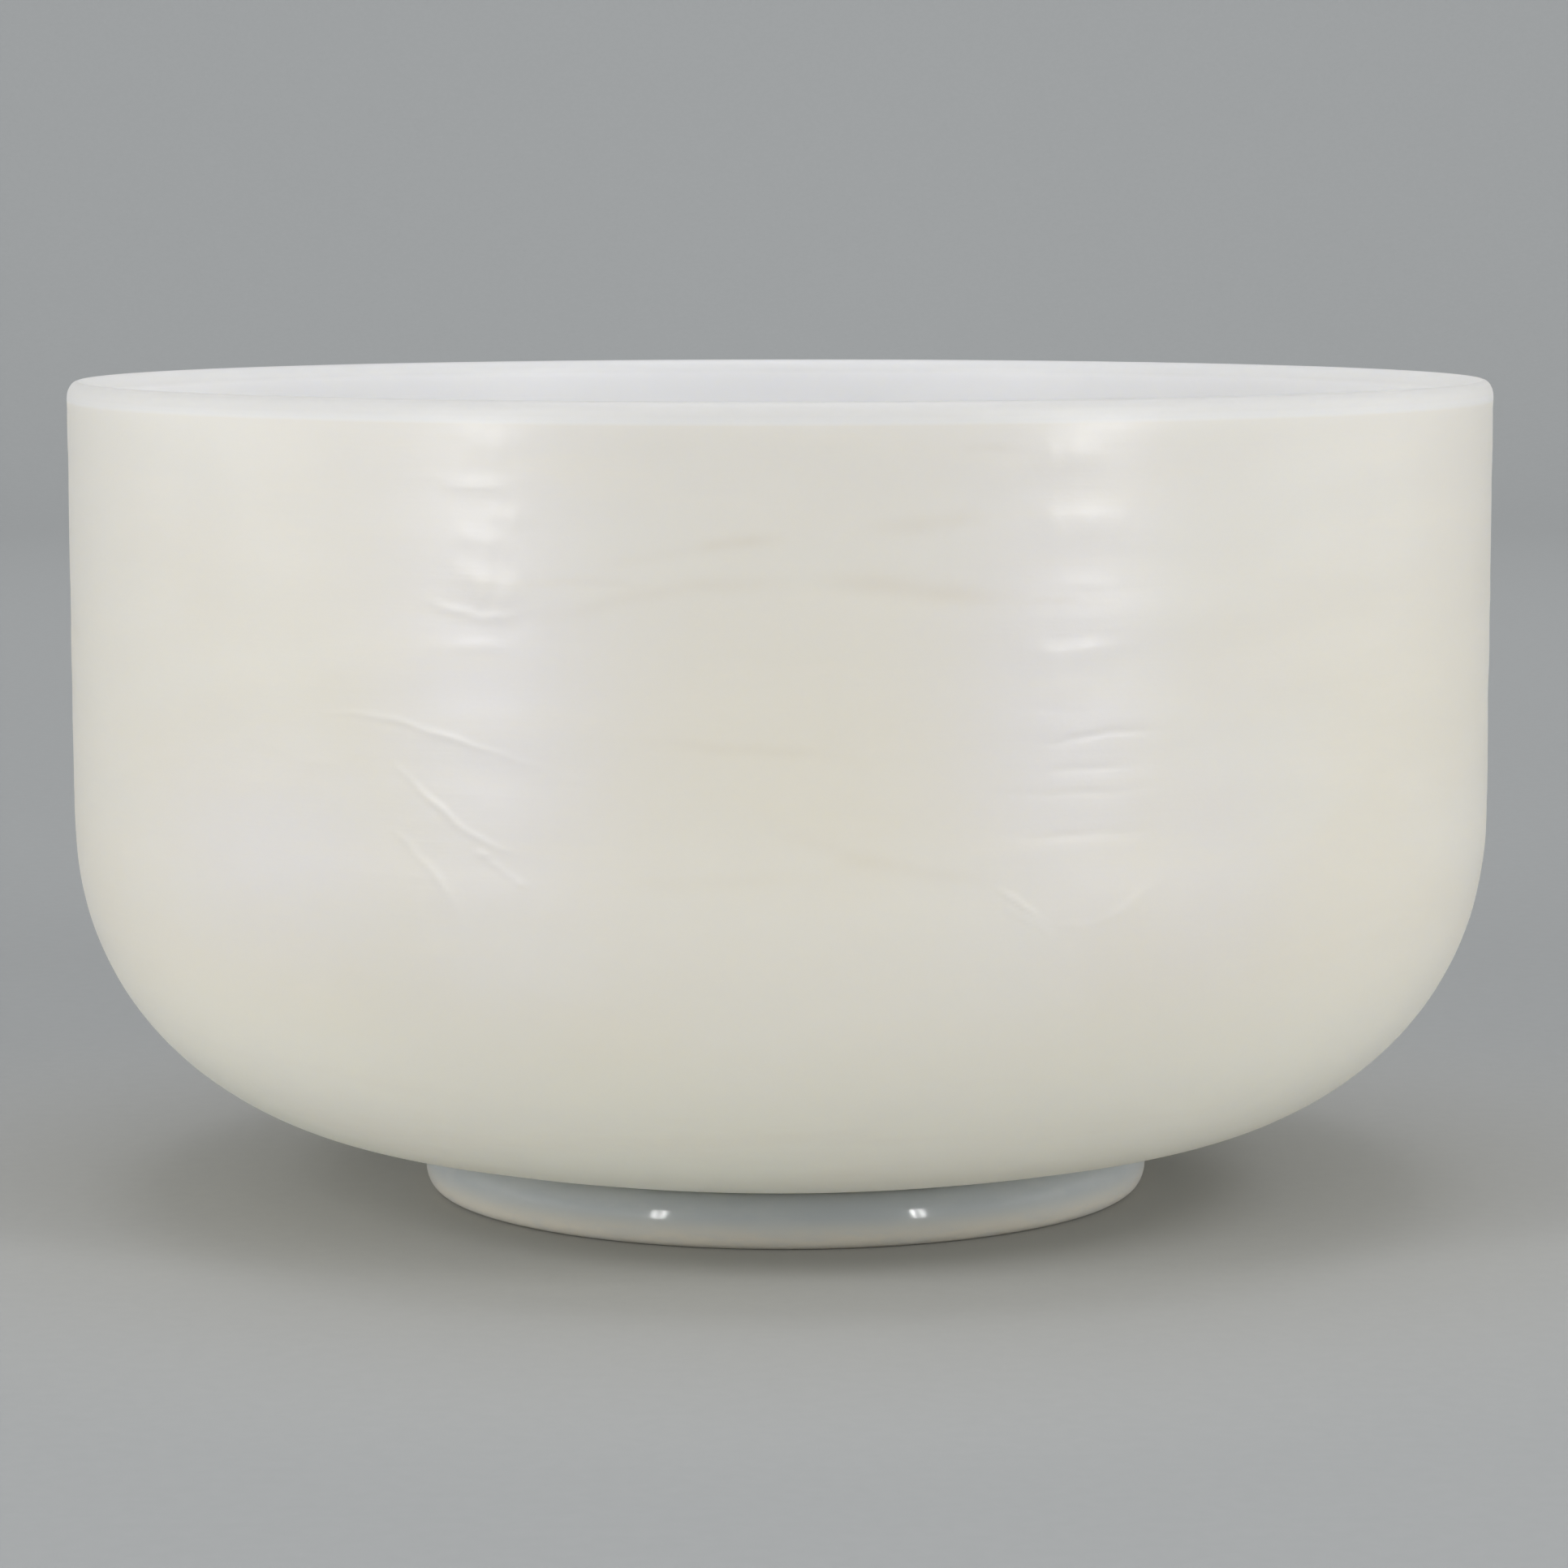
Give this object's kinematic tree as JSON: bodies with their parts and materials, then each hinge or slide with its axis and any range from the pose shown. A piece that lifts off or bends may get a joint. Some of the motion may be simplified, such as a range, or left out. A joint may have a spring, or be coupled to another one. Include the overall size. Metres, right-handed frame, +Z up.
{
  "type": "singing bowl",
  "caption": "Straight-walled milky quartz singing bowl with a broad rounded corner and a shallow domed underside, resting on a soft translucent support ring that it lifts off",
  "frame": {"origin": "centre of the ring's foot, on the table under the middle of the bowl", "axes": "+Z up along the bowl's axis of revolution; +X and +Y are any two directions at right angles on the table, because the object is round"},
  "size_m": [0.305, 0.305, 0.1756],
  "materials": {
    "milky_quartz": "satin",
    "clear_silicone": "satin"
  },
  "bodies": {
    "ring": {"support_ring": "clear_silicone"},
    "bowl": {"quartz_bowl": "milky_quartz"}
  },
  "joints": [
    {"name": "bowl_lift", "type": "slide", "parent": "ring", "child": "bowl", "axis": [0, 0, 1], "range_m": [0, 0.06]}
  ]
}
